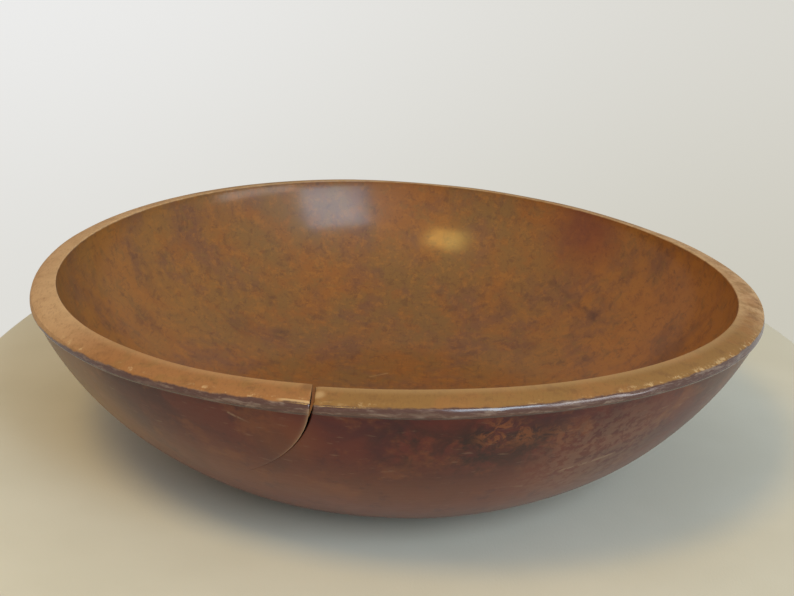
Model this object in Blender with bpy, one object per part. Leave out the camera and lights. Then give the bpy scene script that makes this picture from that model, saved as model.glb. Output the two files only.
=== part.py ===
"""Lathe-turned wooden bowl that has dried oval, with one drying split through its rim and wall.

The whole bowl is one body of wood. It is turned round from a blank, then every point is moved
as the wood moves when it dries: narrower across the grain, and a rim that rises and falls like
a saddle. Last, the split is cut along the grain. Y runs along the grain, with the split at the
-Y end, +Z is up, and the foot stands on Z = 0.
"""

import math

import bmesh
import bpy
from mathutils import Vector

# Driving dimensions, in metres.
RIM_RADIUS = 0.200          # outer edge of the rim, as turned; half the long axis once dried
RIM_HEIGHT = 0.0972         # outer edge of the rim above the surface that the bowl stands on
RIM_WIDTH = 0.0142          # the flat top of the rim
RIM_RISE = 0.0031           # the rim's inner edge stands this much above its outer edge
RIM_ARRIS = 0.0005          # the outer edge, worn round
BAND_HEIGHT = 0.0050        # rounded band under the rim, proud of the wall
BAND_PROUD = 0.0005         # how far the band swells out past the rim's outer edge
BAND_STEP = 0.0011          # how far the wall is set in below the band
FOOT_RADIUS = 0.0756        # flat round foot
WALL_FLARE = 0.29           # share of a straight flare in the outer curve; the rest is a quarter ellipse
FLOOR_THICKNESS = 0.0130
HOLLOW_ROUND = 3.6          # power on the radius in the hollow's curve: more makes a fuller corner
HOLLOW_DEEP = 1.5           # power on the height in the hollow's curve

ACROSS_GRAIN = 0.96         # width left across the grain after drying
SADDLE = 0.00325            # rise and fall of the dried rim
SADDLE_TURN = math.radians(-71.0)   # where the rim is highest, from +X

SPLIT_X = -0.0329           # the split at the rim
SPLIT_LEAN = 0.07           # its slope away from upright at the rim
SPLIT_BOW = 12.5            # how fast that slope grows with depth, as it follows the growth rings
SPLIT_DEPTH = 0.047         # from the rim down to where it has closed
SPLIT_WIDTH = 0.0012        # at the rim
SPLIT_CLOSED = 0.0003       # left open at the tip, so that the cut keeps two clean faces
SPLIT_OVER = 0.010          # the cutter starts this far above the rim
SPLIT_REACH_Y = (-0.215, -0.125)    # from outside the bowl to inside its hollow
SPLIT_BENDS = 8

FACETS = 96                 # round the bowl
WALL_RINGS = 13             # up the outside
HOLLOW_RINGS = 12           # down the inside


def make_material(name, color, roughness):
    """A Principled material with the wood's colour and gloss."""
    material = bpy.data.materials.new(name)
    material.use_nodes = True
    shader = material.node_tree.nodes["Principled BSDF"]
    shader.inputs["Base Color"].default_value = (*color, 1.0)
    shader.inputs["Roughness"].default_value = roughness
    shader.inputs["Metallic"].default_value = 0.0
    return material


def wall_radius(rise):
    """Outer radius at rise, 0 at the foot and 1 at the rim: a quarter ellipse plus a straight flare."""
    spread = RIM_RADIUS + BAND_PROUD - FOOT_RADIUS
    ellipse = math.sqrt(1.0 - (1.0 - rise) ** 2)
    return FOOT_RADIUS + spread * ((1.0 - WALL_FLARE) * ellipse + WALL_FLARE * rise)


def wall_profile():
    """Foot centre, foot edge, then up the outside to the underside of the band."""
    points = [(0.0, 0.0), (FOOT_RADIUS, 0.0)]
    top = 1.0 - BAND_HEIGHT / RIM_HEIGHT
    for ring in range(1, WALL_RINGS + 1):
        rise = top * (ring / WALL_RINGS) ** 1.6
        points.append((wall_radius(rise), rise * RIM_HEIGHT))
    return points


def band_profile():
    """The rounded band under the rim, from its lower edge up to the worn outer edge of the rim."""
    under = RIM_HEIGHT - BAND_HEIGHT
    root = wall_radius(under / RIM_HEIGHT)
    full = RIM_RADIUS + BAND_PROUD
    return [
        (root + BAND_STEP, under + 0.05 * BAND_HEIGHT),
        (full - 0.4 * BAND_PROUD, under + 0.20 * BAND_HEIGHT),
        (full, under + 0.45 * BAND_HEIGHT),
        (RIM_RADIUS, RIM_HEIGHT - 2.0 * RIM_ARRIS),
        (RIM_RADIUS - RIM_ARRIS, RIM_HEIGHT),
    ]


def hollow_profile():
    """Down the inside from the rim's inner edge to the middle of the floor, on a superellipse."""
    radius = RIM_RADIUS - RIM_WIDTH
    top = RIM_HEIGHT + RIM_RISE
    depth = top - FLOOR_THICKNESS
    points = []
    for ring in range(HOLLOW_RINGS + 1):
        angle = 0.5 * math.pi * (1.0 - (ring / HOLLOW_RINGS) ** 0.8)
        across = radius * math.sin(angle) ** (2.0 / HOLLOW_ROUND)
        drop = depth * math.cos(angle) ** (2.0 / HOLLOW_DEEP)
        points.append((across, top - drop))
    points[0] = (radius, top)
    points[-1] = (0.0, FLOOR_THICKNESS)
    return points


def dry(point):
    """Move a turned point as the wood moves: narrower across the grain, the rim in a saddle."""
    across = point.x * ACROSS_GRAIN
    reach = (across ** 2 + point.y ** 2) / RIM_RADIUS ** 2
    turn = math.atan2(point.y, across) - SADDLE_TURN
    lift = SADDLE * (point.z / RIM_HEIGHT) * reach * math.cos(2.0 * turn)
    return Vector((across, point.y, point.z + lift))


def turn_bowl():
    """Spin the profile once round, close it on the axis, and let the wood dry."""
    mesh = bpy.data.meshes.new("bowl")
    shape = bmesh.new()
    profile = wall_profile() + band_profile() + hollow_profile()
    corners = [shape.verts.new((radius, 0.0, height)) for radius, height in profile]
    edges = [shape.edges.new(pair) for pair in zip(corners, corners[1:])]
    bmesh.ops.spin(
        shape,
        geom=corners + edges,
        cent=(0.0, 0.0, 0.0),
        axis=(0.0, 0.0, 1.0),
        angle=2.0 * math.pi,
        steps=FACETS,
        use_merge=True,
    )
    bmesh.ops.remove_doubles(shape, verts=shape.verts, dist=0.00001)
    for vertex in shape.verts:
        vertex.co = dry(vertex.co)
    bmesh.ops.recalc_face_normals(shape, faces=shape.faces)
    shape.to_mesh(mesh)
    shape.free()
    mesh.shade_smooth()
    mesh.set_sharp_from_angle(angle=math.radians(32.0))
    return mesh


def split_cutter():
    """A thin bowed wedge, straight along the grain: widest at the rim, closed at its lower end."""
    mesh = bpy.data.meshes.new("split_cutter")
    shape = bmesh.new()
    rows = []
    for bend in range(SPLIT_BENDS + 1):
        drop = SPLIT_DEPTH - (SPLIT_DEPTH + SPLIT_OVER) * bend / SPLIT_BENDS
        middle = SPLIT_X - SPLIT_LEAN * drop - SPLIT_BOW * max(drop, 0.0) ** 2
        open_share = (1.0 - drop / SPLIT_DEPTH) ** 2
        half = 0.5 * (SPLIT_CLOSED + (SPLIT_WIDTH - SPLIT_CLOSED) * open_share)
        height = RIM_HEIGHT - drop
        rows.append((middle - half, middle + half, height))
    outline = [(left, height) for left, right, height in rows]
    outline += [(right, height) for left, right, height in reversed(rows)]
    ends = []
    for along in SPLIT_REACH_Y:
        ends.append([shape.verts.new((across, along, height)) for across, height in outline])
    outer, inner = ends
    count = len(outline)
    for corner in range(count):
        after = (corner + 1) % count
        shape.faces.new((outer[corner], outer[after], inner[after], inner[corner]))
    for end in ends:
        for row in range(SPLIT_BENDS):
            shape.faces.new((end[row], end[row + 1], end[count - 2 - row], end[count - 1 - row]))
    bmesh.ops.recalc_face_normals(shape, faces=shape.faces)
    shape.to_mesh(mesh)
    shape.free()
    cutter = bpy.data.objects.new("split_cutter", mesh)
    bpy.context.collection.objects.link(cutter)
    cutter.hide_render = True
    cutter.display_type = 'WIRE'
    return cutter


def make_bowl():
    """The bowl: one piece of wood, with the split cut through its rim and wall."""
    mesh = turn_bowl()
    mesh.materials.append(make_material("bowl_wood", (0.19, 0.09, 0.045), 0.42))
    bowl = bpy.data.objects.new("bowl", mesh)
    bpy.context.collection.objects.link(bowl)
    split = bowl.modifiers.new("drying_split", 'BOOLEAN')
    split.operation = 'DIFFERENCE'
    split.solver = 'EXACT'
    split.object = split_cutter()
    return bowl


for leftover in list(bpy.data.objects):
    bpy.data.objects.remove(leftover, do_unlink=True)

make_bowl()
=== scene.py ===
"""Looks for a lathe-turned wooden bowl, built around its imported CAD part."""

import math

import bpy
import numpy as np
from mathutils import Matrix, Vector


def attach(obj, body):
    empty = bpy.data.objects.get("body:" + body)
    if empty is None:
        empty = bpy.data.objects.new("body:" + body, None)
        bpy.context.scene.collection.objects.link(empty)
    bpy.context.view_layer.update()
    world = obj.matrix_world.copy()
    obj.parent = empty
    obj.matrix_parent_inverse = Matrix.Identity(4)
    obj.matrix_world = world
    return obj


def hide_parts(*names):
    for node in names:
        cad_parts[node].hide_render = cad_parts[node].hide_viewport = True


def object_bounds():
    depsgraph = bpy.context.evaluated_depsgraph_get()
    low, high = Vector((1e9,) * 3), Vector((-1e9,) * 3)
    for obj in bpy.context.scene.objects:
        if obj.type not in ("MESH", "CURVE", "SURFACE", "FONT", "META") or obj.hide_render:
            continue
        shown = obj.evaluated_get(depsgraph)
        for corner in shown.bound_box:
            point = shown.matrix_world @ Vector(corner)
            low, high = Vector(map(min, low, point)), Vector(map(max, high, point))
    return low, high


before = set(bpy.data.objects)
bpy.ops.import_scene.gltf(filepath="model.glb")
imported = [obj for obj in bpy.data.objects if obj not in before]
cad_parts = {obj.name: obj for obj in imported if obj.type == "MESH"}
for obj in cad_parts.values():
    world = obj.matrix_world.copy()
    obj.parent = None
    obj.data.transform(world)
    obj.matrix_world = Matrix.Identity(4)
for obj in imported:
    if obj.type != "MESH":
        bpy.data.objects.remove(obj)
cad_low, cad_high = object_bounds()

# The table: a small table top with well rounded corners under a cream cloth, plain and matt. The
# bowl stands on it by its own weight, and its pale colour shows faintly low on the bowl's wall.
TABLE_HALF_WIDTH = 0.276        # metres, as every length here
TABLE_HALF_DEPTH = 0.42
TABLE_CORNERS = 3.0             # power of the outline: 2 is an ellipse, more is squarer
TABLE_MIDDLE = (0.012, -0.02)
TABLE_THICKNESS = 0.022
TABLE_EDGE = 0.004              # rounding of the cloth over the table's edge
TABLE_COLUMNS = 192
TABLE_FLAT_RINGS = 13           # from its middle out to the rounding
TABLE_EDGE_RINGS = 10           # over a quarter of the rounding
CLOTH_COLOR = (0.73, 0.70, 0.58, 1.0)
CLOTH_SHADE = (0.69, 0.66, 0.54, 1.0)


class Finish:
    """One socket in a material. Sums, differences and products of these add Math nodes, and make()
    adds any other node."""

    def __init__(self, tree, socket):
        self.tree = tree
        self.socket = socket

    def make(self, kind, settings=(), inputs=(), output=0):
        """A node of this kind: its settings first, then its inputs, which are numbers, colours or
        Finishes."""
        node = self.tree.nodes.new(kind)
        for name, value in dict(settings).items():
            setattr(node, name, value)
        for name, value in dict(inputs).items():
            if isinstance(value, Finish):
                self.tree.links.new(value.socket, node.inputs[name])
            else:
                node.inputs[name].default_value = value
        return Finish(self.tree, node.outputs[output])

    def sum_node(self, operation, first, second):
        return self.make("ShaderNodeMath", {"operation": operation}, {0: first, 1: second})

    def __add__(self, other):
        return self.sum_node('ADD', self, other)

    __radd__ = __add__

    def __sub__(self, other):
        return self.sum_node('SUBTRACT', self, other)

    def __rsub__(self, other):
        return self.sum_node('SUBTRACT', other, self)

    def __mul__(self, other):
        return self.sum_node('MULTIPLY', self, other)

    __rmul__ = __mul__

    def color(self, value):
        """One plain colour, for others to be mixed into."""
        plain = self.make("ShaderNodeRGB")
        plain.socket.default_value = value
        return plain

    def attribute(self, name):
        """A number kept at every point of the mesh."""
        return self.make("ShaderNodeAttribute", {"attribute_name": name}, (), "Fac")

    def part(self, axis):
        """X, Y or Z of this position, for axis 0, 1 or 2."""
        return self.make("ShaderNodeSeparateXYZ", (), {0: self}, axis)

    def clamp(self):
        """Kept between 0 and 1."""
        return self.make("ShaderNodeClamp", (), {"Value": self})

    def rise(self, low, high):
        """0 below low, 1 above high, and a smooth step between them."""
        limits = {"Value": self, "From Min": low, "From Max": high}
        limits.update({"To Min": 0.0, "To Max": 1.0})
        return self.make("ShaderNodeMapRange", {"interpolation_type": 'SMOOTHSTEP'}, limits)

    def fade(self, low, high):
        """1 below low, 0 above high, and a smooth step between them."""
        return 1.0 - self.rise(low, high)

    def noise(self, scale, detail=3.0, roughness=0.55, distortion=0.0):
        """Cloudy noise about 0.5, read at this position; scale is patches per metre."""
        amounts = {"Vector": self, "Scale": scale, "Detail": detail, "Roughness": roughness}
        amounts["Distortion"] = distortion
        return self.make("ShaderNodeTexNoise", {"noise_dimensions": '3D'}, amounts)

    def stretch(self, scales, turn=(0.0, 0.0, 0.0)):
        """This position with each axis multiplied, then turned, so that noise read there is drawn
        out."""
        turned = {"Vector": self, "Rotation": turn, "Scale": scales}
        return self.make("ShaderNodeMapping", {"vector_type": 'POINT'}, turned)

    def near(self, place, radius, soft):
        """1 within radius of a place, fading to 0 over soft."""
        gap = {0: self, 1: place}
        distance = self.make("ShaderNodeVectorMath", {"operation": 'DISTANCE'}, gap, "Value")
        return distance.fade(radius, radius + soft)

    def stroke(self, start, end, width):
        """1 along the straight line from start to end, fading out over width on both sides."""
        run = Vector(end) - Vector(start)
        offset = self.make("ShaderNodeVectorMath", {"operation": 'SUBTRACT'}, {0: self, 1: start})
        both = {0: offset, 1: run}
        reached = self.make("ShaderNodeVectorMath", {"operation": 'DOT_PRODUCT'}, both, "Value")
        share = (reached * (1.0 / run.length_squared)).clamp()
        foot = self.make("ShaderNodeVectorMath", {"operation": 'SCALE'}, {0: run, "Scale": share})
        return offset.near(foot, 0.0, width)

    def tint(self, factor, color):
        """This colour mixed towards another by a factor."""
        colors = {0: factor, 6: self, 7: color}
        return self.make("ShaderNodeMix", {"data_type": 'RGBA', "blend_type": 'MIX'}, colors, 2)

    def bump(self, height, strength, distance):
        """The surface's normal, raised by a height; distance is in metres."""
        relief = {"Height": height, "Strength": strength, "Distance": distance}
        if self.socket is not None:
            relief["Normal"] = self
        return self.make("ShaderNodeBump", (), relief)


def new_finish(name):
    """A material, its Principled shader, its Object coordinates, and a Finish with no socket to
    start from."""
    material = bpy.data.materials.new(name)
    material.use_nodes = True
    tree = material.node_tree
    shader = tree.nodes["Principled BSDF"]
    start = Finish(tree, None)
    return material, shader, start.make("ShaderNodeTexCoord", (), (), "Object"), start


def feed(shader, name, finish):
    """Joins a Finish to one of the shader's sockets."""
    finish.tree.links.new(finish.socket, shader.inputs[name])


def put_mesh(name, points, faces, material):
    """A smooth-shaded object at the origin from arrays of points and faces."""
    mesh = bpy.data.meshes.new(name)
    mesh.from_pydata(points.tolist(), [], faces)
    mesh.update()
    mesh.shade_smooth()
    mesh.materials.append(material)
    piece = bpy.data.objects.new(name, mesh)
    bpy.context.scene.collection.objects.link(piece)
    return piece


def turned_faces(ring_count, columns):
    """Faces of a turned shape whose first and last rings are single points: a fan, quads, a fan."""
    ring = np.arange(ring_count - 2)[:, None] * columns + 1
    column = np.arange(columns)
    after = (column + 1) % columns
    low, high = ring[:-1], ring[1:]
    quads = np.stack([low + column, low + after, high + after, high + column], -1).reshape(-1, 4)
    last = (ring_count - 2) * columns + 1
    start_fan = np.stack([0 * column, 1 + after, 1 + column], -1)
    end_fan = np.stack([last + 0 * column, ring[-1] + column, ring[-1] + after], -1)
    return start_fan.tolist() + quads.tolist() + end_fan.tolist()


def table_surface():
    """Scaled copies of a superellipse outline, from the top's middle out over the rounded edge and
    back to the underside's middle."""
    corner = np.linspace(0.0, 0.5 * math.pi, TABLE_EDGE_RINGS)
    inset = TABLE_EDGE / TABLE_HALF_WIDTH
    flat = np.linspace(0.0, 1.0, TABLE_FLAT_RINGS + 1)[:-1] * (1.0 - inset)
    edge = 1.0 - inset + inset * np.sin(corner)
    size = np.concatenate([flat, edge, edge[::-1], flat[::-1]])
    fall = TABLE_EDGE * (1.0 - np.cos(corner))
    top = 0.0 * flat
    height = np.concatenate([top, -fall, fall[::-1] - TABLE_THICKNESS, top - TABLE_THICKNESS])
    angle = np.linspace(0.0, 2.0 * math.pi, TABLE_COLUMNS, endpoint=False)
    cosine, sine = np.cos(angle), np.sin(angle)
    power = 2.0 / TABLE_CORNERS
    across = TABLE_HALF_WIDTH * np.sign(cosine) * np.abs(cosine) ** power
    along = TABLE_HALF_DEPTH * np.sign(sine) * np.abs(sine) ** power
    x = size[1:-1, None] * across + TABLE_MIDDLE[0]
    y = size[1:-1, None] * along + TABLE_MIDDLE[1]
    rings = np.stack([x, y, height[1:-1, None] + 0.0 * x], -1).reshape(-1, 3)
    highest = [[*TABLE_MIDDLE, height[0]]]
    lowest = [[*TABLE_MIDDLE, height[-1]]]
    points = np.concatenate([highest, rings, lowest])
    faces = [face[::-1] for face in turned_faces(len(size), TABLE_COLUMNS)]
    return points, faces


def cloth_finish():
    """Fine plain cloth: soft mottling, a faint thread pattern in the relief, no gloss."""
    material, shader, place, start = new_finish("cream_cloth")
    mottle = place.noise(9.0, 3.0)
    cloth = start.color(CLOTH_COLOR)
    feed(shader, "Base Color", cloth.tint(mottle.rise(0.35, 0.70), CLOTH_SHADE))
    threads = place.stretch((1.0, 0.35, 1.0)).noise(900.0, 1.0)
    feed(shader, "Normal", start.bump(threads, 0.25, 0.0002))
    shader.inputs["Roughness"].default_value = 0.9
    shader.inputs["Specular IOR Level"].default_value = 0.15
    return material


table = put_mesh("table_top", *table_surface(), cloth_finish())

# The bowl: one piece of wood, turned on a lathe with a flat rim, a rounded band under it, and a
# wall that swells down to a flat round foot. It has dried narrower across the grain (X), the rim
# has risen and fallen like a saddle, and a split has opened along the grain at the front.
BAND_PROUD = 0.0005             # the band under the rim swells this far past the rim's edge
RIM_RADIUS = 0.5 * (cad_high[1] - cad_low[1]) - BAND_PROUD
RIM_HEIGHT = 0.0972
RIM_WIDTH = 0.0142
RIM_OUTER_ROUND = 0.0012        # the rim's outer edge is rounded over this width
RIM_INNER_ROUND = 0.0010        # and its inner edge over this
INNER_ROUND_DROP = 0.0014       # how far the inner rounding goes down the hollow
RIM_RISE = 0.0031               # the inner edge of the rim stands above the outer edge
RIM_CROWN = 0.00025             # the rim's top is very slightly rounded
BAND_HEIGHT = 0.0050
BAND_HOLLOW = 0.0008            # the wall turns out into the band over this height
FOOT_RADIUS = 0.0756
FOOT_TRUE = 0.004               # below this height the wear fades out, so that the foot is flat
MIDDLE_TRUE = 0.02              # and within this radius, so that both middles are single points
WALL_FLARE = 0.29               # straight share of the wall's spread; the rest is an ellipse
FLOOR_THICKNESS = 0.0130
HOLLOW_ROUND = 3.6              # power on the hollow's radius
HOLLOW_DEEP = 1.5               # power on its depth
ACROSS_GRAIN = 0.96             # width across the grain, as a share of the turned width
SADDLE = 0.00325                # rise and fall of the rim
SADDLE_TURN = math.radians(-71.0)   # direction of one of its two high places

SPLIT_X = -0.0329               # where the split crosses the rim
SPLIT_LEAN = 0.07               # metres towards -X for each metre down
SPLIT_BOW = 12.5                # and this times the square of the way down
SPLIT_DEPTH = 0.047
SPLIT_WIDTH = 0.0015            # at the rim
SPLIT_OPENING = 2               # power by which it opens from its tip to the rim
SPLIT_ANGLE = math.radians(-99.5)   # its direction from the bowl's middle
# the pale lip is worn raw wood together with a painted highlight where light catches its edge
LIP_FADE = 0.0007               # its pale left lip fades out over this
LIP_OVERLAP = 0.0003            # and starts this far inside the split
SPLIT_TIP = RIM_HEIGHT - SPLIT_DEPTH

COLUMNS = 300                   # round the bowl
COLUMN_CROWD = 0.85             # how strongly they crowd near the split
FOOT_RINGS = 10
LOW_RINGS = 50                  # from the foot up to the split's tip
LOW_CROWD = 1.8                 # power by which they crowd near the foot
UP_RINGS = 44                   # from the tip up to the band
BAND_RINGS = 30
RIM_RINGS = 20
EDGE_RINGS = 10                 # round the rim's inner edge
FLOOR_RINGS = 60                # from the tip down to the middle of the floor


def wall_curve(rise):
    """Outer radius and height: a quarter ellipse plus a straight flare, for rise from 0 to 1."""
    spread = RIM_RADIUS + BAND_PROUD - FOOT_RADIUS
    ellipse = np.sqrt(1.0 - (1.0 - rise) ** 2)
    radius = FOOT_RADIUS + spread * ((1.0 - WALL_FLARE) * ellipse + WALL_FLARE * rise)
    return radius, rise * RIM_HEIGHT


def hollow_radius(height):
    """Inner radius at a height: a superellipse, where radius and depth have their own powers."""
    top = RIM_HEIGHT + RIM_RISE
    depth = np.clip((top - height) / (top - FLOOR_THICKNESS), 0.0, 1.0)
    return (RIM_RADIUS - RIM_WIDTH) * (1.0 - depth ** HOLLOW_DEEP) ** (1.0 / HOLLOW_ROUND)


def hollow_height(radius):
    """The same superellipse, solved for the height at a radius."""
    top = RIM_HEIGHT + RIM_RISE
    share = (radius / (RIM_RADIUS - RIM_WIDTH)) ** HOLLOW_ROUND
    return top - (top - FLOOR_THICKNESS) * (1.0 - share) ** (1.0 / HOLLOW_DEEP)


def eased(corners, cuts, count):
    """A line through corners, each inner one turned into a parabola that starts and ends a cut away
    from it; the whole is then spaced out evenly."""
    corners = np.array(corners)
    line = [corners[:1]]
    share = np.linspace(0.0, 1.0, 12)[:, None]
    for before, corner, after, cut in zip(corners, corners[1:], corners[2:], cuts):
        start = corner + cut * (before - corner) / np.linalg.norm(before - corner)
        end = corner + cut * (after - corner) / np.linalg.norm(after - corner)
        line.append((1 - share) ** 2 * start + 2 * share * (1 - share) * corner + share ** 2 * end)
    line = np.concatenate(line + [corners[-1:]])
    run = np.concatenate([[0.0], np.cumsum(np.linalg.norm(np.diff(line, axis=0), axis=1))])
    even = np.linspace(0.0, run[-1], count)
    return np.interp(even, run, line[:, 0]), np.interp(even, run, line[:, 1])


def bowl_outline():
    """Radius and height of every ring, from the middle of the foot, up the outside, over the rim
    and down to the middle of the floor. Also the ring where each stretch begins."""
    root_height = RIM_HEIGHT - BAND_HEIGHT
    root_radius = wall_curve(np.array(root_height / RIM_HEIGHT))[0]
    inner = RIM_RADIUS - RIM_WIDTH
    top = RIM_HEIGHT + RIM_RISE
    foot = np.linspace(0.0, FOOT_RADIUS, FOOT_RINGS, endpoint=False)
    tip = SPLIT_TIP / RIM_HEIGHT
    low = wall_curve(tip * np.linspace(0.0, 1.0, LOW_RINGS, endpoint=False) ** LOW_CROWD)
    wall_end = (root_height - BAND_HOLLOW) / RIM_HEIGHT
    up = wall_curve(np.linspace(tip, wall_end, UP_RINGS, endpoint=False))
    band = eased(
        [
            (root_radius - 0.5 * BAND_HOLLOW, root_height - BAND_HOLLOW),
            (root_radius, root_height),
            (RIM_RADIUS + 0.3 * BAND_PROUD, root_height + 0.0004),
            (RIM_RADIUS + BAND_PROUD, root_height + 0.0024),
            (RIM_RADIUS - 0.1 * BAND_PROUD, RIM_HEIGHT - 0.0002),
            (RIM_RADIUS - RIM_OUTER_ROUND, RIM_HEIGHT + 0.00026),
        ],
        (0.0005, 0.0009, 0.0012, 0.0007),
        BAND_RINGS,
    )
    across = np.linspace(0.0, 1.0, RIM_RINGS + 1)[1:-1]
    rim_flat = RIM_WIDTH - RIM_OUTER_ROUND - RIM_INNER_ROUND
    rim_radius = RIM_RADIUS - RIM_OUTER_ROUND - rim_flat * across
    rim_height = RIM_HEIGHT + RIM_RISE * (RIM_RADIUS - rim_radius) / RIM_WIDTH
    rim = rim_radius, rim_height + RIM_CROWN * np.sin(math.pi * across)
    edge = eased(
        [
            (inner + RIM_INNER_ROUND, top - RIM_RISE * RIM_INNER_ROUND / RIM_WIDTH),
            (inner, top),
            (float(hollow_radius(top - INNER_ROUND_DROP)), top - INNER_ROUND_DROP),
        ],
        (0.0009,),
        EDGE_RINGS,
    )
    down_rings = UP_RINGS + BAND_RINGS - EDGE_RINGS
    down_height = np.linspace(top - INNER_ROUND_DROP, SPLIT_TIP, down_rings + 1)[1:]
    down = hollow_radius(down_height), down_height
    floor_radius = np.linspace(hollow_radius(SPLIT_TIP), 0.0, FLOOR_RINGS + 1)[1:]
    floor = floor_radius, hollow_height(floor_radius)
    stretches = [(foot, 0.0 * foot), low, up, band, rim, edge, down, floor]
    radius = np.concatenate([stretch[0] for stretch in stretches])
    height = np.concatenate([stretch[1] for stretch in stretches])
    starts = np.cumsum([0] + [len(stretch[0]) for stretch in stretches])
    return radius, height, starts


ring_radius, ring_height, ring_starts = bowl_outline()
tip_out = ring_starts[2]                    # the split's tip on the outside
rim_out = ring_starts[4] - 1                # outer edge of the rim
rim_in = ring_starts[5]                     # inner edge of the rim
tip_in = ring_starts[7] - 1                 # the split's tip in the hollow


def ring_run():
    """Length along the outline, from 0 at the rim's outer edge: less than 0 outside, more over the
    rim and into the hollow."""
    step = np.hypot(np.diff(ring_radius), np.diff(ring_height))
    run = np.concatenate([[0.0], np.cumsum(step)])
    return run - run[rim_out]


ring_along = ring_run()
INNER_EDGE = float(ring_along[rim_in] + 0.0009)     # the rim's inner edge on that scale


def split_path(drop):
    """X of the split at a drop below the rim: a parabola that leans from upright more and more, as
    the growth rings do."""
    return SPLIT_X - SPLIT_LEAN * drop - SPLIT_BOW * np.clip(drop, 0.0, None) ** 2


def split_middle(height, reach):
    """X of the split at a turned height: the saddle will lift the wood there by the square of its
    reach from the middle."""
    lift = SADDLE / RIM_HEIGHT * reach ** 2 * math.cos(2.0 * (SPLIT_ANGLE - SADDLE_TURN))
    return split_path(RIM_HEIGHT - height * (1.0 + lift))


def split_share(height):
    """How far open the split is: 0 at its tip and below, 1 at the rim."""
    return np.clip((height - SPLIT_TIP) / (RIM_HEIGHT - SPLIT_TIP), 0.0, 1.0) ** SPLIT_OPENING


def column_angles():
    """Angle of every point round the bowl, and how far open the split is at every ring. A seam runs
    up the split; above its tip the seam opens, so the first column is the split's right side and
    the last its left. Columns crowd near the seam."""
    reach = ring_radius / RIM_RADIUS
    held = np.clip(np.arange(len(ring_radius)), tip_out, tip_in)
    across = ACROSS_GRAIN * ring_radius[held]
    middle = split_middle(ring_height[held], reach[held])
    seam = -np.arccos(np.clip(middle / across, -1.0, 1.0))
    share = split_share(ring_height)
    share[:tip_out + 1] = 0.0
    share[tip_in:] = 0.0
    gap = 0.5 * SPLIT_WIDTH * share / (across * np.abs(np.sin(seam)))
    even = np.linspace(0.0, 1.0, COLUMNS + 1)
    crowded = even - COLUMN_CROWD * np.sin(2.0 * math.pi * even) / (2.0 * math.pi)
    angle = (seam + gap)[:, None] + (2.0 * math.pi - 2.0 * gap)[:, None] * crowded
    return angle, share


bowl_angle, split_open = column_angles()


def turn_from(angle):
    """Angle from a direction in degrees to every point, from minus a half turn to a half turn."""
    return (bowl_angle - math.radians(angle) + math.pi) % (2.0 * math.pi) - math.pi


def nick(angle, along, length, width, depth, slant):
    """A dent, as depth over the whole surface: a Gaussian, long one way and narrow the other, at an
    angle round the bowl and a place along the outline, turned by slant."""
    around = turn_from(angle) * ring_radius[:, None]
    up = (ring_along - along)[:, None] + 0.0 * around
    cosine, sine = math.cos(math.radians(slant)), math.sin(math.radians(slant))
    one = (around * cosine + up * sine) / length
    other = (up * cosine - around * sine) / width
    return -depth * np.exp(-0.5 * (one ** 2 + other ** 2))


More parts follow.
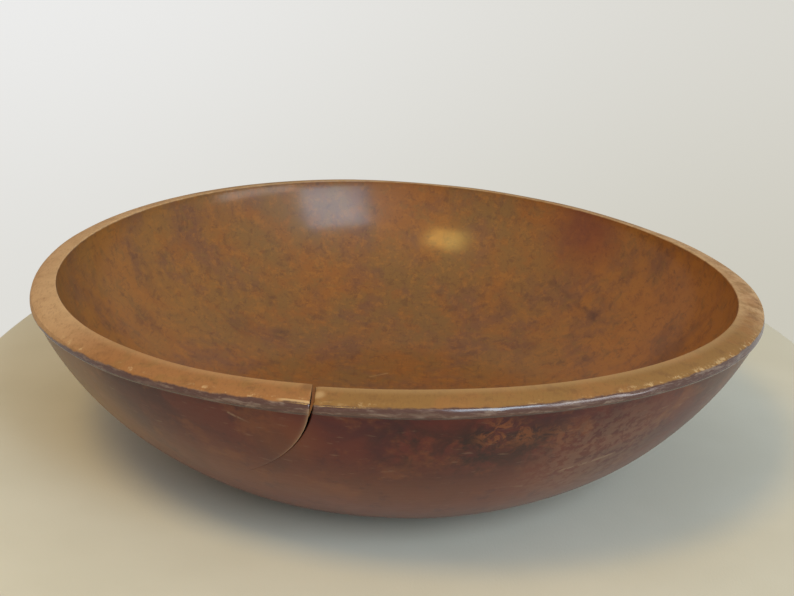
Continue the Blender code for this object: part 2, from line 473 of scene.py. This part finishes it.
def surface_relief(spot):
    """How far the surface stands out from its turned shape: sines for uneven hand turning, the edge
    of the rim and the band worn back by Gaussians of the place along the outline, lips at the split
    eased by exponentials of the way from it, and dents."""
    x, y, z = spot[..., 0], spot[..., 1], spot[..., 2]
    relief = 0.00016 * np.sin(31.0 * x + 1.3) * np.sin(27.0 * y - 0.6)
    relief += 0.00010 * np.sin(74.0 * x - 39.0 * y + 52.0 * z)
    edge = np.exp(-0.5 * (ring_along / 0.0009) ** 2)[:, None]
    wear = np.sin(23.0 * x + 61.0 * y) + np.sin(97.0 * x - 41.0 * y + 2.0)
    wear += np.sin(211.0 * x + 57.0 * y)
    relief += edge * (-0.00016 - 0.00009 * wear)
    band = np.exp(-0.5 * ((ring_along + 0.0035) / 0.0016) ** 2)[:, None]
    scuff = np.sin(159.0 * x + 33.0 * y) * np.sin(71.0 * x - 133.0 * y) + np.sin(301.0 * x)
    relief += band * 0.00005 * scuff
    rolled = np.exp(-0.5 * ((ring_along + 0.0022) / 0.0022) ** 2)[:, None]
    for angle, spread, depth in ((-172.0, 24.0, 0.0012), (-20.0, 22.0, 0.0006)):
        handled = turn_from(angle) / math.radians(spread)
        relief -= depth * rolled * np.exp(-0.5 * handled ** 2)
    right = (bowl_angle - bowl_angle[:, :1]) * ring_radius[:, None]
    left = (bowl_angle[:, -1:] - bowl_angle) * ring_radius[:, None]
    opened = split_open[:, None] ** 0.4
    relief += opened * (-0.00050 * np.exp(-right / 0.0012) - 0.00022 * np.exp(-left / 0.0007))
    relief += opened * 0.00040 * np.exp(-(left / 0.018) ** 2)
    relief -= opened * 0.00020 * np.exp(-(right / 0.013) ** 2)
    for angle, along, length, width, depth, slant in (
        (-117.8, 0.0022, 0.0034, 0.0011, 0.0006, -20.0),
        (-132.5, 0.0008, 0.0030, 0.0012, 0.0006, 10.0),
        (-40.2, 0.0005, 0.0038, 0.0013, 0.0007, -8.0),
        (-77.0, 0.0010, 0.0020, 0.0030, 0.0005, 30.0),
        (-73.5, 0.0030, 0.0016, 0.0026, 0.0004, -25.0),
        (-57.0, -0.0010, 0.0050, 0.0010, 0.0005, 0.0),
        (-33.0, -0.0036, 0.0030, 0.0012, 0.0006, 12.0),
        (-87.0, -0.0040, 0.0060, 0.0009, 0.0004, 0.0),
        (-94.0, -0.0046, 0.0050, 0.0007, 0.0004, 0.0),
        (-105.0, -0.0044, 0.0060, 0.0007, 0.0004, 4.0),
        (-64.0, 0.0060, 0.0016, 0.0012, 0.0004, 0.0),
        (35.0, 0.0004, 0.0050, 0.0012, 0.0006, 0.0),
        (96.0, 0.0010, 0.0040, 0.0014, 0.0006, 18.0),
        (158.0, -0.0014, 0.0060, 0.0010, 0.0005, 0.0),
        (-160.0, 0.0016, 0.0036, 0.0012, 0.0005, -12.0),
    ):
        relief += nick(angle, along, length, width, depth, slant)
    return relief


def dried(spot):
    """The wood's movement: narrower across the grain, then a saddle that grows with height and with
    the square of the reach from the middle."""
    x = spot[..., 0] * ACROSS_GRAIN
    y = spot[..., 1]
    z = spot[..., 2]
    reach = (x ** 2 + y ** 2) / RIM_RADIUS ** 2
    turn = np.arctan2(y, x) - SADDLE_TURN
    lift = SADDLE * z / RIM_HEIGHT * reach * np.cos(2.0 * turn)
    return np.stack([x, y, z + lift], -1)


def bowl_surface():
    """Every ring turned through its column angles, pushed out by the relief along the outline's
    normal, then dried."""
    along_radius = np.gradient(ring_radius)
    along_height = np.gradient(ring_height)
    length = np.hypot(along_radius, along_height)
    out_radius, out_height = along_height / length, -along_radius / length
    cosine, sine = np.cos(bowl_angle), np.sin(bowl_angle)
    flat = np.stack([ring_radius[:, None] * cosine, ring_radius[:, None] * sine], -1)
    spot = np.concatenate([flat, ring_height[:, None, None] + 0.0 * flat[..., :1]], -1)
    relief = surface_relief(spot)
    relief *= np.clip(ring_height / FOOT_TRUE, 0.0, 1.0)[:, None]
    relief *= np.clip(ring_radius / MIDDLE_TRUE, 0.0, 1.0)[:, None]
    radius = ring_radius[:, None] + out_radius[:, None] * relief
    height = ring_height[:, None] + out_height[:, None] * relief
    return dried(np.stack([radius * cosine, radius * sine, height], -1))


def split_side(grid, column):
    """The wood seen inside the split, on one side: a sheet between the outer wall, the rim, the
    hollow and the split's tip, blended from its four edges (a Coons patch)."""
    outer = grid[tip_out:rim_out + 1, column]
    inner = grid[rim_in:tip_in + 1, column][::-1]
    rim = grid[rim_out:rim_in + 1, column]
    up = np.linspace(0.0, 1.0, len(outer))[:, None, None]
    across = np.linspace(0.0, 1.0, len(rim))[None, :, None]
    tip = outer[0] + (inner[0] - outer[0]) * across[0]
    patch = (1 - across) * outer[:, None] + across * inner[:, None] + (1 - up) * tip + up * rim
    corners = (1 - up) * ((1 - across) * outer[0] + across * inner[0])
    corners = corners + up * ((1 - across) * outer[-1] + across * inner[-1])
    return patch - corners


def grid_quads(label):
    """Faces between the rows and columns of a grid of point numbers."""
    corners = [label[:-1, :-1], label[:-1, 1:], label[1:, 1:], label[1:, :-1]]
    return np.stack(corners, -1).reshape(-1, 4)


def bowl_mesh():
    """Points and faces, with the seam below the split and the two middles closed. With them come
    each point's place along the outline, 1 where it is inside the split, and its place round the
    rim."""
    grid = bowl_surface()
    rings, columns = grid.shape[:2]
    number = np.arange(rings * columns).reshape(rings, columns)
    closed = split_open <= 0.0
    number[closed, -1] = number[closed, 0]
    number[0] = number[0, 0]
    number[-1] = number[-1, 0]
    points = [grid.reshape(-1, 3)]
    along = [np.repeat(ring_along, columns)]
    inside = [np.zeros(rings * columns)]
    around = [RIM_RADIUS * bowl_angle.ravel()]
    faces = [grid_quads(number)]
    for column in (0, columns - 1):
        patch = split_side(grid, column)
        first = sum(len(block) for block in points)
        label = first + np.arange(patch.shape[0] * patch.shape[1]).reshape(patch.shape[:2])
        label[:, 0] = number[tip_out:rim_out + 1, column]
        label[:, -1] = number[rim_in:tip_in + 1, column][::-1]
        label[-1] = number[rim_out:rim_in + 1, column]
        if column:
            label[0, 1:-1] = tip_labels[1:-1]
        tip_labels = label[0].copy()
        quads = grid_quads(label)
        faces.append(quads if column else quads[:, ::-1])
        points.append(patch.reshape(-1, 3))
        along.append(np.zeros(label.size))
        inside.append(np.ones(label.size))
        around.append(np.zeros(label.size))
    parts = points, along, inside, around, faces
    points, along, inside, around, faces = (np.concatenate(part) for part in parts)
    used, renumbered = np.unique(faces, return_inverse=True)
    faces = renumbered.reshape(faces.shape).tolist()
    trimmed = [list(dict.fromkeys(face)) for face in faces]
    return points[used], trimmed, along[used], inside[used], around[used]


# The bowl's wood: a close-grained hardwood under old oil. The hollow is olive to orange brown, the
# outside dark red-brown with purple stains and rubbed streaks, and the rim is worn to bare wood.
HOLLOW_OLIVE = (0.204, 0.098, 0.028, 1.0)
HOLLOW_ORANGE = (0.262, 0.094, 0.020, 1.0)
HOLLOW_AMBER = (0.370, 0.142, 0.024, 1.0)
HOLLOW_GREY = (0.170, 0.072, 0.036, 1.0)
HOLLOW_RED = (0.190, 0.046, 0.016, 1.0)
HOLLOW_DARK = (0.072, 0.028, 0.020, 1.0)
OUTSIDE_RED = (0.096, 0.012, 0.008, 1.0)
OUTSIDE_PURPLE = (0.046, 0.004, 0.008, 1.0)
OUTSIDE_DARK = (0.016, 0.003, 0.005, 1.0)
OUTSIDE_ORANGE = (0.180, 0.048, 0.013, 1.0)
# painted reflection of the pale table on the outside wall's left
OUTSIDE_REFLECTED_TABLE = (0.266, 0.114, 0.021, 1.0)
OUTSIDE_RUBBED = (0.30, 0.19, 0.11, 1.0)
RIM_TAN = (0.560, 0.350, 0.180, 1.0)
RIM_ORANGE = (0.335, 0.144, 0.046, 1.0)
RIM_YELLOW = (0.272, 0.142, 0.044, 1.0)
RIM_BROWN = (0.180, 0.085, 0.032, 1.0)
RIM_PALE = (0.600, 0.400, 0.200, 1.0)
BAND_BROWN = (0.088, 0.038, 0.027, 1.0)
# pale band colour: worn finish, and a painted sheen of the light on the rough worn band
BAND_SCUFF_AND_SHEEN = (0.300, 0.215, 0.160, 1.0)
# painted shade in the groove under the band
BAND_PAINTED_SHADE = (0.028, 0.013, 0.011, 1.0)
# painted shade: the wood inside the split is made near black, for the shade deep in the narrow gap
SPLIT_PAINTED_SHADE = (0.040, 0.019, 0.012, 1.0)
# pale lip of the split: raw wood, and a painted highlight on its edge
LIP_WOOD_AND_HIGHLIGHT = (0.300, 0.165, 0.085, 1.0)
TURNING_LINES = 2100.0          # radians of tool line for each metre out from the middle
# the pale outer edge left of the split is worn wood with a painted highlight on the rounded edge
BRIGHT_EDGE = 0.018             # the rim's outer edge is rubbed bright this far left of the split
BRIGHT_FROM = RIM_RADIUS * (SPLIT_ANGLE + 2.0 * math.pi) - BRIGHT_EDGE


def hollow_color(place, start):
    """Olive, orange and grey-brown clouds a few centimetres across, finer blotches, amber towards
    the sides, old spots, a streak and a scratch, and fibre drawn out along the grain."""
    color = start.color(HOLLOW_OLIVE)
    clouds = place.noise(17.0, 4.0, 0.6, 0.4)
    color = color.tint(clouds.rise(0.40, 0.66), HOLLOW_ORANGE)
    toward_right = place.near((0.19, 0.02, 0.08), 0.04, 0.16)
    color = color.tint(toward_right * 0.9, HOLLOW_AMBER)
    toward_left = place.near((-0.18, 0.04, 0.08), 0.02, 0.13)
    color = color.tint(toward_left * 0.45, HOLLOW_AMBER)
    color = color.tint(place.noise(31.0, 4.0, 0.62).rise(0.45, 0.66) * 0.7, HOLLOW_GREY)
    color = color.tint(place.noise(74.0, 4.0, 0.7).rise(0.50, 0.64) * 0.55, HOLLOW_ORANGE)
    color = color.tint(place.noise(97.0, 4.0, 0.7, 0.5).rise(0.52, 0.64) * 0.55, HOLLOW_OLIVE)
    color = color.tint(place.noise(180.0, 4.0, 0.75).rise(0.50, 0.64) * 0.35, HOLLOW_AMBER)
    color = color.tint(place.noise(143.0, 4.0, 0.75, 0.4).rise(0.52, 0.66) * 0.32, HOLLOW_DARK)
    color = color.tint(place.near((0.119, 0.135, 0.087), 0.004, 0.036) * 0.70, HOLLOW_RED)
    blotch = place.noise(61.0, 5.0, 0.7).rise(0.56, 0.74)
    color = color.tint(blotch * 0.24, HOLLOW_DARK)
    ragged = place.noise(160.0, 2.0).rise(0.30, 0.55)
    for spot, radius, soft, strength in (
        ((-0.144, 0.043, 0.048), 0.002, 0.011, 0.42),
        ((-0.093, 0.088, 0.031), 0.002, 0.013, 0.28),
        ((-0.070, 0.093, 0.025), 0.001, 0.009, 0.48),
        ((-0.077, 0.057, 0.019), 0.001, 0.009, 0.34),
        ((0.082, 0.086, 0.026), 0.001, 0.009, 0.36),
        ((0.121, 0.090, 0.046), 0.001, 0.006, 0.40),
        ((-0.150, 0.075, 0.060), 0.003, 0.022, 0.22),
        ((-0.060, -0.100, 0.030), 0.003, 0.018, 0.35),
        ((0.040, -0.110, 0.028), 0.002, 0.012, 0.40),
        ((-0.120, -0.070, 0.034), 0.002, 0.014, 0.35),
    ):
        color = color.tint(place.near(spot, radius, soft) * ragged * strength, HOLLOW_DARK)
    streak = place.stroke((0.097, 0.128, 0.055), (0.121, 0.090, 0.046), 0.0035)
    color = color.tint(streak * ragged * 0.42, HOLLOW_DARK)
    scratch = place.stroke((-0.014, 0.056, 0.0145), (-0.004, 0.062, 0.0145), 0.0014)
    color = color.tint(scratch * 0.28, RIM_PALE)
    fibre = place.stretch((1.0, 0.10, 1.0)).noise(700.0, 2.0)
    return color.tint(fibre.rise(0.54, 0.74) * 0.22, HOLLOW_DARK)


def outside_color(place, start):
    """Red-brown going purple in clouds, orange-brown low down, lighter partly as painted light from
    the pale table below, a painted reflection of the pale table in olive brown on the left, dark
    stains, and rubbed streaks."""
    color = start.color(OUTSIDE_RED)
    height = place.part(2)
    clouds = place.noise(21.0, 4.0, 0.62, 0.5)
    color = color.tint(clouds.rise(0.40, 0.62) * 0.9, OUTSIDE_PURPLE)
    # lighter orange-brown low down: partly painted light, bounced and reflected from the pale table
    # below
    color = color.tint(height.fade(0.026, 0.078) * 0.8, OUTSIDE_ORANGE)
    color = color.tint(place.noise(52.0, 4.0, 0.68).rise(0.52, 0.70) * 0.55, OUTSIDE_ORANGE)
    color = color.tint(place.noise(83.0, 4.0, 0.7).rise(0.54, 0.70) * 0.50, OUTSIDE_PURPLE)
    # painted reflection: olive brown on the left wall, for the pale table seen there at a grazing
    # angle
    painted_table_reflection = place.near((-0.150, -0.110, 0.078), 0.020, 0.036)
    color = color.tint(painted_table_reflection * 0.5, OUTSIDE_REFLECTED_TABLE)
    ragged = place.noise(75.0, 4.0, 0.7, 0.6).rise(0.38, 0.60)
    for spot, radius, soft, strength in (
        ((0.008, -0.192, 0.080), 0.004, 0.020, 0.80),
        ((0.037, -0.187, 0.078), 0.006, 0.022, 0.95),
        ((0.060, -0.181, 0.080), 0.004, 0.020, 0.85),
        ((-0.100, 0.160, 0.070), 0.008, 0.030, 0.70),
        ((0.150, 0.110, 0.075), 0.006, 0.028, 0.70),
        ((-0.178, -0.020, 0.066), 0.005, 0.020, 0.50),
    ):
        color = color.tint(place.near(spot, radius, soft) * ragged * strength, OUTSIDE_DARK)
    color = color.tint(place.near((-0.046, -0.186, 0.078), 0.006, 0.018) * 0.45, OUTSIDE_ORANGE)
    worn = place.noise(150.0, 4.0, 0.7, 0.8).rise(0.44, 0.60)
    for spot, radius, soft, strength in (
        ((0.044, -0.189, 0.0865), 0.004, 0.010, 0.95),
        ((0.056, -0.186, 0.083), 0.002, 0.009, 0.75),
        ((0.072, -0.179, 0.080), 0.003, 0.012, 0.55),
    ):
        color = color.tint(place.near(spot, radius, soft) * worn * strength, OUTSIDE_ORANGE)
    broken = place.noise(230.0, 3.0, 0.7).rise(0.40, 0.56)
    for start_place, end_place, width, strength in (
        ((-0.068, -0.183, 0.088), (-0.059, -0.184, 0.085), 0.0011, 0.75),
        ((0.074, -0.158, 0.056), (0.102, -0.145, 0.061), 0.0016, 0.60),
        ((0.080, -0.163, 0.064), (0.104, -0.153, 0.071), 0.0011, 0.45),
        ((0.066, -0.155, 0.050), (0.086, -0.147, 0.054), 0.0012, 0.45),
        ((0.112, -0.151, 0.076), (0.121, -0.148, 0.080), 0.0010, 0.50),
        ((0.040, -0.165, 0.052), (0.059, -0.157, 0.048), 0.0014, 0.45),
        ((0.128, -0.137, 0.074), (0.133, -0.138, 0.080), 0.0009, 0.45),
        ((-0.100, -0.160, 0.078), (-0.088, -0.163, 0.073), 0.0010, 0.35),
    ):
        scratch = place.stroke(start_place, end_place, width)
        color = color.tint(scratch * broken * strength, OUTSIDE_RUBBED)
    rubbed = place.near((0.092, -0.152, 0.060), 0.016, 0.035)
    color = color.tint(rubbed * broken * 0.22, OUTSIDE_RUBBED)
    light = place.stretch((0.4, 0.4, 2.0), (0.0, -0.25, 0.0)).noise(300.0, 3.0).rise(0.62, 0.78)
    return color.tint(light * 0.25, OUTSIDE_RUBBED)


def rim_color(place, start, along, around):
    """Bare tan wood, orange on the left of the split and yellow-brown to its right, fine pores,
    brown dirt, chipped pale edges, painted glints on the front right of the edge, a pale edge left
    of the split that is worn and carries a painted highlight, and a dark and a pale corner at the
    split."""
    color = start.color(RIM_TAN)
    color = color.tint(place.near((-0.080, -0.180, 0.099), 0.050, 0.080) * 0.95, RIM_ORANGE)
    right = place.part(0).rise(-0.034, -0.031)
    front = place.near((0.075, -0.170, 0.097), 0.110, 0.070)
    color = color.tint(front * right, RIM_YELLOW)
    far = place.near((0.0, 0.20, 0.10), 0.090, 0.110)
    color = color.tint(far * 0.45, RIM_BROWN)
    handled = place.near((-0.19, -0.03, 0.10), 0.07, 0.10)
    uneven = 1.0 - handled * 0.75
    color = color.tint(place.noise(38.0, 4.0, 0.65).rise(0.46, 0.62) * uneven * 0.50, RIM_ORANGE)
    color = color.tint(place.noise(90.0, 4.0, 0.7).rise(0.50, 0.64) * uneven * 0.60, RIM_YELLOW)
    pores = place.stretch((1.0, 0.30, 1.0)).noise(900.0, 3.0, 0.7).rise(0.48, 0.72)
    color = color.tint(pores * 0.35, RIM_BROWN)
    dirt = place.noise(110.0, 5.0, 0.7).rise(0.50, 0.70)
    color = color.tint(dirt * uneven * 0.55, RIM_BROWN)
    toward_inside = along.rise(INNER_EDGE - 0.0060, INNER_EDGE - 0.0006)
    color = color.tint(toward_inside * 0.25, RIM_PALE)
    chips = place.noise(260.0, 3.0, 0.7).rise(0.52, 0.64) * place.noise(44.0, 2.0).rise(0.46, 0.58)
    # painted glints: pale flecks on the rim's outer edge at the front right; the chips are worn
    # wood
    painted_glints = place.noise(330.0, 3.0, 0.7).rise(0.55, 0.64)
    painted_glints = painted_glints * place.near((0.150, -0.125, 0.099), 0.040, 0.040)
    corner = along.fade(0.0004, 0.0030) * (chips + painted_glints).clamp()
    color = color.tint(corner * 0.7, RIM_PALE)
    # pale edge left of the split: worn wood, with a painted highlight where light catches the
    # rounded edge
    worn_edge_and_highlight = along.rise(-0.0013, -0.0005) * along.fade(0.0003, 0.0009)
    worn_edge_and_highlight = worn_edge_and_highlight * around.rise(BRIGHT_FROM, BRIGHT_FROM + 0.005)
    color = color.tint(worn_edge_and_highlight * 0.8, RIM_PALE)
    color = color.tint(place.near((-0.0350, -0.1850, 0.1015), 0.0012, 0.0035) * 0.6, RIM_BROWN)
    return color.tint(place.near((-0.0305, -0.1900, 0.1005), 0.0010, 0.0030) * 0.55, RIM_PALE)


def band_color(start, along, around):
    """The band under the rim: brown with dirt and wear, pale scuffs, worn and with a painted sheen,
    drawn out round the bowl, and painted shade in the groove where it meets the wall."""
    color = start.color(BAND_BROWN)
    strip = start.make("ShaderNodeCombineXYZ", (), {0: around, 1: along * 5.0, 2: 0.0})
    # pale scuffs and streaks: worn finish, and a painted sheen where the rough band catches the
    # light
    scuffs = strip.noise(75.0, 4.0, 0.72, 0.3).rise(0.50, 0.64)
    color = color.tint(scuffs * 0.48, BAND_SCUFF_AND_SHEEN)
    streaks = strip.noise(210.0, 3.0, 0.7).rise(0.52, 0.66)
    color = color.tint(streaks * 0.22, BAND_SCUFF_AND_SHEEN)
    patches = strip.noise(38.0, 3.0, 0.6).rise(0.52, 0.66)
    color = color.tint(patches * 0.6, BAND_BROWN)
    # painted shade: a dark line in the groove where the band meets the wall
    painted_groove_shade = along.fade(-0.0056, -0.0044)
    return color.tint(painted_groove_shade * 0.8, BAND_PAINTED_SHADE)


def wood_finish():
    """The whole bowl's material: hollow, rim, band and outside by the place along the outline, with
    ragged borders, then the split's left lip, pale with a painted highlight, and painted shade
    inside the split; satin oil over it, rougher where it is worn."""
    material, shader, place, start = new_finish("old_oiled_wood")
    along = start.attribute("along_outline")
    split = start.attribute("in_split")
    lip = start.attribute("split_lip")
    around = start.attribute("around_rim")
    ragged = (place.noise(150.0, 3.0, 0.6) - 0.5) * 0.0034
    rolled = place.near((-0.20, 0.02, 0.10), 0.10, 0.09)
    rolled = rolled + 0.6 * place.near((0.20, 0.00, 0.10), 0.02, 0.11)
    left = place.part(0).fade(-0.10, -0.03)
    on_rim = (along + ragged + rolled * 0.0032 + left * 0.0010).rise(-0.0014, -0.0002)
    in_hollow = (along + ragged * 0.25).rise(INNER_EDGE - 0.0002, INNER_EDGE + 0.0008)
    on_band = (along + ragged * 0.3).rise(-0.0062, -0.0052)
    color = outside_color(place, start)
    color = color.tint(on_band, band_color(start, along, around))
    color = color.tint(on_rim, rim_color(place, start, along, around))
    color = color.tint(in_hollow, hollow_color(place, start))
    # pale lip: worn raw wood, and a painted highlight where light catches the edge
    color = color.tint(lip, LIP_WOOD_AND_HIGHLIGHT)
    # painted shade inside the split
    color = color.tint(split, SPLIT_PAINTED_SHADE)
    feed(shader, "Base Color", color)
    worn = on_rim * (1.0 - in_hollow)
    band = on_band * (1.0 - on_rim)
    cloudy = place.noise(45.0, 3.0, 0.6) - 0.5
    rough = 0.45 + cloudy * 0.16 + worn * 0.22 - band * 0.20 + split * 0.4
    oil = 0.40 + cloudy * 0.25 + band * 0.5 - worn * 0.40 - split * 0.5
    feed(shader, "Roughness", rough.clamp())
    feed(shader, "Coat Weight", oil.clamp())
    shader.inputs["Coat Roughness"].default_value = 0.17
    shader.inputs["Specular IOR Level"].default_value = 0.20
    distance_out = start.make("ShaderNodeVectorMath", {"operation": 'LENGTH'}, {0: place}, "Value")
    lines = start.make("ShaderNodeMath", {"operation": 'SINE'}, {0: distance_out * TURNING_LINES})
    fibre = place.stretch((1.0, 0.12, 1.0)).noise(650.0, 3.0, 0.6)
    relief = start.bump(lines * (1.0 - worn), 0.20, 0.00002)
    relief = relief.bump(fibre * (1.0 - band), 0.22, 0.00012)
    relief = relief.bump(place.noise(210.0, 4.0, 0.6) * (0.35 + worn - band * 0.25), 0.30, 0.00022)
    feed(shader, "Normal", relief)
    return material


def make_bowl():
    """The bowl's mesh with its finish. Four numbers at every point tell the finish where it is. The
    split's left lip is pale below the band, raw wood with a painted highlight where light catches
    the edge: the colour fades exponentially with the way from it."""
    points, faces, along, inside, around = bowl_mesh()
    bowl = put_mesh("turned_bowl", points, faces, wood_finish())
    middle = split_path(RIM_HEIGHT - points[:, 2])
    opened = split_share(points[:, 2]) * (points[:, 1] < -0.10)
    left = middle - 0.5 * SPLIT_WIDTH * opened - points[:, 0]
    lip = np.exp(-np.clip(left, 0.0, None) / LIP_FADE) * (left > -LIP_OVERLAP) * (1.0 - inside)
    lip *= np.clip(opened * 2.2, 0.0, 0.9) * (along < -0.003)
    values = {"along_outline": along, "in_split": inside, "split_lip": lip, "around_rim": around}
    for name, numbers in values.items():
        attribute = bowl.data.attributes.new(name, 'FLOAT', 'POINT')
        attribute.data.foreach_set("value", numbers.astype(np.float32))
    return bowl


bowl = make_bowl()
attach(bowl, "root")
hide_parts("bowl")

# The room: a pale wall all round, brighter and cooler to the left, seen behind the table. It lights
# the bowl softly from every side; a warm lamp in front on the left and cool windows in front on
# the right cast the highlights in the hollow and on the band.
WALL_BRIGHT = (0.85, 0.85, 0.845, 1.0)
WALL_SHADE = (0.60, 0.58, 0.50, 1.0)
ROOM_LIGHT = (1.0, 0.96, 0.90, 1.0)
ROOM_STRENGTH = 0.45
LAMP_PLACE = (-0.42, -0.86, 1.33)
LAMP_SIZE = 0.36
LAMP_POWER = 7.2                # watts, as every power here
LAMP_COLOR = (1.0, 0.64, 0.15)
WINDOW_DISTANCE = 2.6
WINDOW_PANES = ((32.7, 0.84), (21.3, 0.085), (18.4, 0.10))  # degrees round, and width
WINDOW_HIGH = 25.0              # degrees above the rim
WINDOW_HEIGHT = 1.7
WINDOW_POWER = 52.381           # for each metre of width
WINDOW_COLOR = (0.62, 0.80, 0.96)
SIDE_WINDOW = (60.0, 4.0)       # degrees round and above the rim
SIDE_SIZE = (1.5, 0.55)
SIDE_POWER = 15.0
SIDE_COLOR = (0.95, 0.97, 1.0)
LIT_PLACE = (0.0, 0.0, 0.08)    # every lamp faces this place


def room_light():
    """World: what the camera sees is a wall with a slow gradient; what lights the bowl is even."""
    world = bpy.data.worlds.new("pale_room")
    world.use_nodes = True
    bpy.context.scene.world = world
    tree = world.node_tree
    tree.nodes.clear()
    start = Finish(tree, None)
    direction = start.make("ShaderNodeTexCoord", (), (), "Generated")
    toward_right = direction.part(0).rise(-0.32, 0.34)
    low = direction.part(2).fade(-0.36, -0.06)
    wall = start.color(WALL_BRIGHT)
    wall = wall.tint((toward_right * 0.62 + low * 0.45).clamp(), WALL_SHADE)
    seen = start.make("ShaderNodeBackground", (), {"Color": wall, "Strength": 1.0})
    even = {"Color": ROOM_LIGHT, "Strength": ROOM_STRENGTH}
    lighting = start.make("ShaderNodeBackground", (), even)
    camera_ray = start.make("ShaderNodeLightPath", (), (), "Is Camera Ray")
    both = start.make("ShaderNodeMixShader", (), {0: camera_ray, 1: lighting, 2: seen})
    output = tree.nodes.new("ShaderNodeOutputWorld")
    tree.links.new(both.socket, output.inputs["Surface"])


def area_light(name, place, size, power, color):
    """A soft rectangular light at a place, facing the bowl."""
    lamp = bpy.data.lights.new(name, 'AREA')
    lamp.shape = 'RECTANGLE'
    lamp.size, lamp.size_y = size
    lamp.energy = power
    lamp.color = color
    holder = bpy.data.objects.new(name, lamp)
    holder.location = place
    facing = Vector(LIT_PLACE) - Vector(place)
    holder.rotation_euler = facing.to_track_quat('-Z', 'Y').to_euler()
    bpy.context.scene.collection.objects.link(holder)
    return holder


def window_place(azimuth, elevation):
    """A place on a sphere round the bowl's rim, at an azimuth to the right of -Y and an elevation,
    both in degrees."""
    turn, lift = math.radians(azimuth), math.radians(elevation)
    flat = WINDOW_DISTANCE * math.cos(lift)
    height = RIM_HEIGHT + WINDOW_DISTANCE * math.sin(lift)
    return flat * math.sin(turn), -flat * math.cos(turn), height


room_light()
area_light("warm_lamp", LAMP_PLACE, (LAMP_SIZE, LAMP_SIZE), LAMP_POWER, LAMP_COLOR)
for pane, (azimuth, width) in enumerate(WINDOW_PANES):
    place = window_place(azimuth, WINDOW_HIGH)
    size = (width, WINDOW_HEIGHT)
    area_light(f"window_pane_{pane}", place, size, WINDOW_POWER * width, WINDOW_COLOR)
side = area_light("side_window", window_place(*SIDE_WINDOW), SIDE_SIZE, SIDE_POWER, SIDE_COLOR)
side.visible_diffuse = False    # a sheen on the band, no more

# The camera: in front of the bowl and about two bowl heights above its rim, looking down into it.
# It is held slightly askew.
CAMERA_PLACE = Vector((0.0, -0.7209, 0.3146))
CAMERA_DIP = math.radians(17.90)
CAMERA_ROLL = math.radians(2.33)
LENS = 63.5                     # millimetres, as is the sensor
SENSOR = 36.0
NEAREST = 0.01                  # nothing nearer than this is drawn


def make_camera():
    """Looks along +Y, dipped and rolled; the columns of its turn are right, up and backwards."""
    ahead = Vector((0.0, math.cos(CAMERA_DIP), -math.sin(CAMERA_DIP)))
    level = Vector((1.0, 0.0, 0.0))
    upright = level.cross(ahead)
    right = math.cos(CAMERA_ROLL) * level + math.sin(CAMERA_ROLL) * upright
    up = math.cos(CAMERA_ROLL) * upright - math.sin(CAMERA_ROLL) * level
    lens = bpy.data.cameras.new("camera")
    lens.lens = LENS
    lens.sensor_width = SENSOR
    lens.clip_start = NEAREST
    camera = bpy.data.objects.new("camera", lens)
    turn = Matrix((right, up, -ahead)).transposed()
    camera.matrix_world = Matrix.Translation(CAMERA_PLACE) @ turn.to_4x4()
    bpy.context.scene.collection.objects.link(camera)
    bpy.context.scene.camera = camera


make_camera()
bpy.context.scene.view_settings.view_transform = 'Standard'
